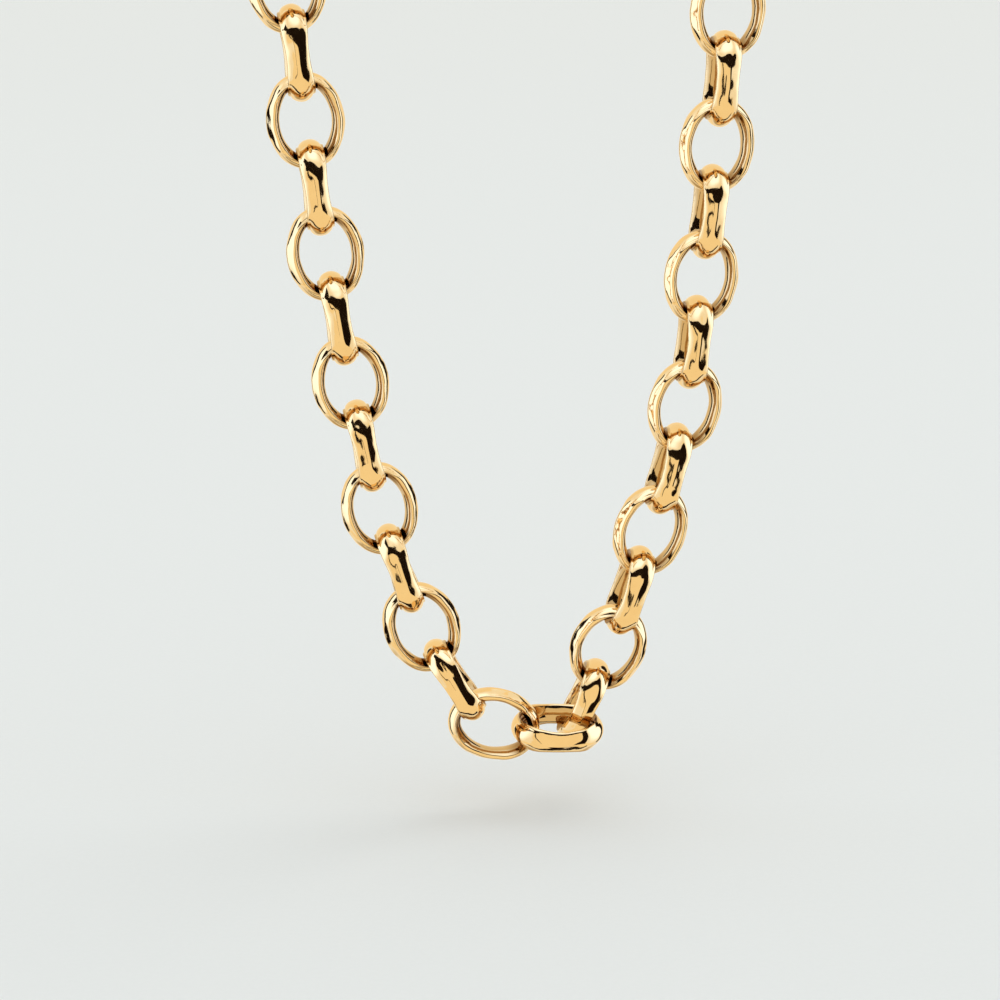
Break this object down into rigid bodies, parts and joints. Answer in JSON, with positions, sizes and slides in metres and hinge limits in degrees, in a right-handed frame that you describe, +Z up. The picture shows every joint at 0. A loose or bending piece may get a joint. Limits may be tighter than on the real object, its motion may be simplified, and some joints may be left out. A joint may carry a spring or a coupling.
{
  "type": "chain necklace",
  "caption": "Belcher chain necklace of oval band links, closed at the nape by a lobster clasp between two round rings.",
  "frame": {"origin": "at the nape, on the underside of the clasp, between its two rings, where the neck holds the necklace", "axes": "+Z up, the loop hangs in the XZ plane with its front toward -Y, +X to the right seen from the front"},
  "size_m": [0.0811, 0.0135, 0.198],
  "materials": {
    "gold": "polished",
    "gold_link": "polished",
    "spring": "drawn wire"
  },
  "bodies": {
    "clasp": {"clasp_body": "gold", "clasp_rivet": "gold", "clasp_spring": "spring"},
    "clasp_gate": {"clasp_gate": "gold"},
    "jump_ring": {"jump_ring": "gold"},
    "end_ring": {"end_ring": "gold"},
    "link_01": {"link_01": "gold_link"},
    "link_02": {"link_02": "gold_link"},
    "link_03": {"link_03": "gold_link"},
    "link_04": {"link_04": "gold_link"},
    "link_05": {"link_05": "gold_link"},
    "link_06": {"link_06": "gold_link"},
    "link_07": {"link_07": "gold_link"},
    "link_08": {"link_08": "gold_link"},
    "link_09": {"link_09": "gold_link"},
    "link_10": {"link_10": "gold_link"},
    "link_11": {"link_11": "gold_link"},
    "link_12": {"link_12": "gold_link"},
    "link_13": {"link_13": "gold_link"},
    "link_14": {"link_14": "gold_link"},
    "link_15": {"link_15": "gold_link"},
    "link_16": {"link_16": "gold_link"},
    "link_17": {"link_17": "gold_link"},
    "link_18": {"link_18": "gold_link"},
    "link_19": {"link_19": "gold_link"},
    "link_20": {"link_20": "gold_link"},
    "link_21": {"link_21": "gold_link"},
    "link_22": {"link_22": "gold_link"},
    "link_23": {"link_23": "gold_link"},
    "link_24": {"link_24": "gold_link"},
    "link_25": {"link_25": "gold_link"},
    "link_26": {"link_26": "gold_link"},
    "link_27": {"link_27": "gold_link"},
    "link_28": {"link_28": "gold_link"},
    "link_29": {"link_29": "gold_link"},
    "link_30": {"link_30": "gold_link"},
    "link_31": {"link_31": "gold_link"},
    "link_32": {"link_32": "gold_link"},
    "link_33": {"link_33": "gold_link"},
    "link_34": {"link_34": "gold_link"},
    "link_35": {"link_35": "gold_link"},
    "link_36": {"link_36": "gold_link"},
    "link_37": {"link_37": "gold_link"},
    "link_38": {"link_38": "gold_link"},
    "link_39": {"link_39": "gold_link"},
    "link_40": {"link_40": "gold_link"},
    "link_41": {"link_41": "gold_link"},
    "link_42": {"link_42": "gold_link"},
    "link_43": {"link_43": "gold_link"},
    "link_44": {"link_44": "gold_link"},
    "link_45": {"link_45": "gold_link"},
    "link_46": {"link_46": "gold_link"},
    "link_47": {"link_47": "gold_link"},
    "link_48": {"link_48": "gold_link"}
  },
  "joints": [
    {"name": "gate_hinge", "type": "hinge", "parent": "clasp", "child": "clasp_gate", "pos_m": [-0.0027, 0.0009, 0.0013], "axis": [0, 0, -1], "range_deg": [0, 15], "stiffness_Nm_per_rad": 0.004, "springref_deg": -17.19},
    {"name": "swing_left", "type": "hinge", "parent": "clasp", "child": "jump_ring", "pos_m": [-0.00643, 0, 0.0013], "axis": [1, 0, 0], "range_deg": [-15, 15]},
    {"name": "swing_right", "type": "hinge", "parent": "clasp", "child": "end_ring", "pos_m": [0.00418, 0, 0.0013], "axis": [1, 0, 0], "range_deg": [-15, 15]},
    {"name": "contact_01", "type": "hinge", "parent": "jump_ring", "child": "link_01", "pos_m": [-0.01238, 0, 0.00078], "axis": [-0.4574, 0, 0.8892], "range_deg": [-10, 10]},
    {"name": "contact_02", "type": "hinge", "parent": "link_01", "child": "link_02", "pos_m": [-0.02121, 0, -0.00068], "axis": [0.5396, 0, -0.8419], "range_deg": [-9, 9]},
    {"name": "contact_03", "type": "hinge", "parent": "link_02", "child": "link_03", "pos_m": [-0.02885, 0, -0.00477], "axis": [0.6171, 0, -0.7869], "range_deg": [-9, 9]},
    {"name": "contact_04", "type": "hinge", "parent": "link_03", "child": "link_04", "pos_m": [-0.03497, 0, -0.0113], "axis": [-0.6914, 0, 0.7225], "range_deg": [-9, 9]},
    {"name": "contact_05", "type": "hinge", "parent": "link_04", "child": "link_05", "pos_m": [-0.03855, 0, -0.01919], "axis": [0.7551, 0, -0.6556], "range_deg": [-9, 9]},
    {"name": "contact_06", "type": "hinge", "parent": "link_05", "child": "link_06", "pos_m": [-0.03942, 0, -0.0281], "axis": [-0.8102, 0, 0.5861], "range_deg": [-9, 9]},
    {"name": "contact_07", "type": "hinge", "parent": "link_06", "child": "link_07", "pos_m": [-0.03881, 0, -0.03698], "axis": [-0.8591, 0, 0.5119], "range_deg": [-9, 9]},
    {"name": "contact_08", "type": "hinge", "parent": "link_07", "child": "link_08", "pos_m": [-0.03756, 0, -0.04584], "axis": [0.9048, 0, -0.4258], "range_deg": [-9, 9]},
    {"name": "contact_09", "type": "hinge", "parent": "link_08", "child": "link_09", "pos_m": [-0.03632, 0, -0.0547], "axis": [0.9466, 0, -0.3224], "range_deg": [-9, 9]},
    {"name": "contact_10", "type": "hinge", "parent": "link_09", "child": "link_10", "pos_m": [-0.03507, 0, -0.06356], "axis": [0.9796, 0, -0.2011], "range_deg": [-9, 9]},
    {"name": "contact_11", "type": "hinge", "parent": "link_10", "child": "link_11", "pos_m": [-0.03383, 0, -0.07243], "axis": [-0.9979, 0, 0.0643], "range_deg": [-9, 9]},
    {"name": "contact_12", "type": "hinge", "parent": "link_11", "child": "link_12", "pos_m": [-0.03258, 0, -0.08129], "axis": [-0.9966, 0, -0.0819], "range_deg": [-8, 7]},
    {"name": "contact_13", "type": "hinge", "parent": "link_12", "child": "link_13", "pos_m": [-0.03138, 0, -0.09016], "axis": [0.9735, 0, 0.2287], "range_deg": [-7, 8]},
    {"name": "contact_14", "type": "hinge", "parent": "link_13", "child": "link_14", "pos_m": [-0.03029, 0, -0.09904], "axis": [-0.9305, 0, -0.3663], "range_deg": [-6, 9]},
    {"name": "contact_15", "type": "hinge", "parent": "link_14", "child": "link_15", "pos_m": [-0.02918, 0, -0.10792], "axis": [-0.873, 0, -0.4877], "range_deg": [-9, 6]},
    {"name": "contact_16", "type": "hinge", "parent": "link_15", "child": "link_16", "pos_m": [-0.02801, 0, -0.1168], "axis": [0.8074, 0, 0.5901], "range_deg": [-9, 6]},
    {"name": "contact_17", "type": "hinge", "parent": "link_16", "child": "link_17", "pos_m": [-0.0266, 0, -0.12563], "axis": [-0.7382, 0, -0.6746], "range_deg": [-9, 5]},
    {"name": "contact_18", "type": "hinge", "parent": "link_17", "child": "link_18", "pos_m": [-0.02505, 0, -0.13445], "axis": [-0.6695, 0, -0.7428], "range_deg": [-5, 10]},
    {"name": "contact_19", "type": "hinge", "parent": "link_18", "child": "link_19", "pos_m": [-0.02334, 0, -0.14323], "axis": [0.6038, 0, 0.7971], "range_deg": [-5, 10]},
    {"name": "contact_20", "type": "hinge", "parent": "link_19", "child": "link_20", "pos_m": [-0.02148, 0, -0.15199], "axis": [-0.5421, 0, -0.8403], "range_deg": [-5, 10]},
    {"name": "contact_21", "type": "hinge", "parent": "link_20", "child": "link_21", "pos_m": [-0.0192, 0, -0.16063], "axis": [0.4832, 0, 0.8755], "range_deg": [-4, 10]},
    {"name": "contact_22", "type": "hinge", "parent": "link_21", "child": "link_22", "pos_m": [-0.01636, 0, -0.16912], "axis": [0.426, 0, 0.9047], "range_deg": [-10, 6]},
    {"name": "contact_23", "type": "hinge", "parent": "link_22", "child": "link_23", "pos_m": [-0.01265, 0, -0.17723], "axis": [0.3683, 0, 0.9297], "range_deg": [-4, 10]},
    {"name": "contact_24", "type": "hinge", "parent": "link_23", "child": "link_24", "pos_m": [-0.00798, 0, -0.18486], "axis": [-0.3093, 0, -0.951], "range_deg": [-5, 10]},
    {"name": "contact_25", "type": "hinge", "parent": "link_24", "child": "link_25", "pos_m": [-0.00046, 0, -0.18841], "axis": [0.2405, 0, 0.9706], "range_deg": [-5, 3]},
    {"name": "contact_26", "type": "hinge", "parent": "link_25", "child": "link_26", "pos_m": [0.00652, 0.00412, -0.18968], "axis": [0.1803, -0.0358, 0.983], "range_deg": [-4, 2]},
    {"name": "contact_27", "type": "hinge", "parent": "link_26", "child": "link_27", "pos_m": [0.00962, 0.0019, -0.18159], "axis": [-0.1657, 0.0178, -0.986], "range_deg": [-3, 5]},
    {"name": "contact_28", "type": "hinge", "parent": "link_27", "child": "link_28", "pos_m": [0.01266, 0.00057, -0.17328], "axis": [0.1494, -0.0058, 0.9888], "range_deg": [-6, 6]},
    {"name": "contact_29", "type": "hinge", "parent": "link_28", "child": "link_29", "pos_m": [0.01542, 0, -0.16478], "axis": [0.1332, 0, 0.9911], "range_deg": [-4, 1]},
    {"name": "contact_30", "type": "hinge", "parent": "link_29", "child": "link_30", "pos_m": [0.01799, 0, -0.15621], "axis": [-0.1158, 0, -0.9933], "range_deg": [-10, 4]},
    {"name": "contact_31", "type": "hinge", "parent": "link_30", "child": "link_31", "pos_m": [0.02031, 0, -0.14757], "axis": [0.0978, 0, 0.9952], "range_deg": [-10, 3]},
    {"name": "contact_32", "type": "hinge", "parent": "link_31", "child": "link_32", "pos_m": [0.02191, 0, -0.13878], "axis": [0.0862, 0, 0.9963], "range_deg": [-3, 10]},
    {"name": "contact_33", "type": "hinge", "parent": "link_32", "child": "link_33", "pos_m": [0.02284, 0, -0.12988], "axis": [-0.0831, 0, -0.9965], "range_deg": [-4, 10]},
    {"name": "contact_34", "type": "hinge", "parent": "link_33", "child": "link_34", "pos_m": [0.02378, 0, -0.12097], "axis": [-0.0788, 0, -0.9969], "range_deg": [-10, 4]},
    {"name": "contact_35", "type": "hinge", "parent": "link_34", "child": "link_35", "pos_m": [0.02471, 0, -0.11207], "axis": [0.0724, 0, 0.9974], "range_deg": [-10, 3]},
    {"name": "contact_36", "type": "hinge", "parent": "link_35", "child": "link_36", "pos_m": [0.02543, 0, -0.10315], "axis": [-0.0698, 0, -0.9976], "range_deg": [-10, 4]},
    {"name": "contact_37", "type": "hinge", "parent": "link_36", "child": "link_37", "pos_m": [0.02606, 0, -0.09423], "axis": [-0.0698, 0, -0.9976], "range_deg": [-4, 10]},
    {"name": "contact_38", "type": "hinge", "parent": "link_37", "child": "link_38", "pos_m": [0.02668, 0, -0.0853], "axis": [0.0698, 0, 0.9976], "range_deg": [-4, 10]},
    {"name": "contact_48", "type": "hinge", "parent": "end_ring", "child": "link_48", "pos_m": [0.01013, 0, 0.00078], "axis": [-0.2173, 0, 0.9761], "range_deg": [-10, 10]},
    {"name": "contact_47", "type": "hinge", "parent": "link_48", "child": "link_47", "pos_m": [0.01887, 0, -0.00114], "axis": [0.1114, 0, -0.9938], "range_deg": [-9, 9]},
    {"name": "contact_46", "type": "hinge", "parent": "link_47", "child": "link_46", "pos_m": [0.0256, 0, -0.00626], "axis": [-0.0243, 0, 0.9997], "range_deg": [-10, 10]},
    {"name": "contact_45", "type": "hinge", "parent": "link_46", "child": "link_45", "pos_m": [0.02979, 0, -0.01417], "axis": [-0.04, 0, -0.9992], "range_deg": [-10, 10]},
    {"name": "contact_44", "type": "hinge", "parent": "link_45", "child": "link_44", "pos_m": [0.03105, 0, -0.0228], "axis": [0.0698, 0, 0.9976], "range_deg": [-10, 10]},
    {"name": "contact_43", "type": "hinge", "parent": "link_44", "child": "link_43", "pos_m": [0.03043, 0, -0.03173], "axis": [-0.0698, 0, -0.9976], "range_deg": [-10, 10]},
    {"name": "contact_42", "type": "hinge", "parent": "link_43", "child": "link_42", "pos_m": [0.0298, 0, -0.04066], "axis": [-0.0698, 0, -0.9976], "range_deg": [-10, 10]},
    {"name": "contact_41", "type": "hinge", "parent": "link_42", "child": "link_41", "pos_m": [0.02918, 0, -0.04958], "axis": [0.0698, 0, 0.9976], "range_deg": [-10, 10]},
    {"name": "contact_40", "type": "hinge", "parent": "link_41", "child": "link_40", "pos_m": [0.02855, 0, -0.05851], "axis": [-0.0698, 0, -0.9976], "range_deg": [-10, 10]},
    {"name": "contact_39", "type": "hinge", "parent": "link_40", "child": "link_39", "pos_m": [0.02793, 0, -0.06744], "axis": [0.0698, 0, 0.9976], "range_deg": [-10, 10]}
  ],
  "couplings": [
    {"joint": "swing_right", "follows": "swing_left", "ratio": 1}
  ]
}
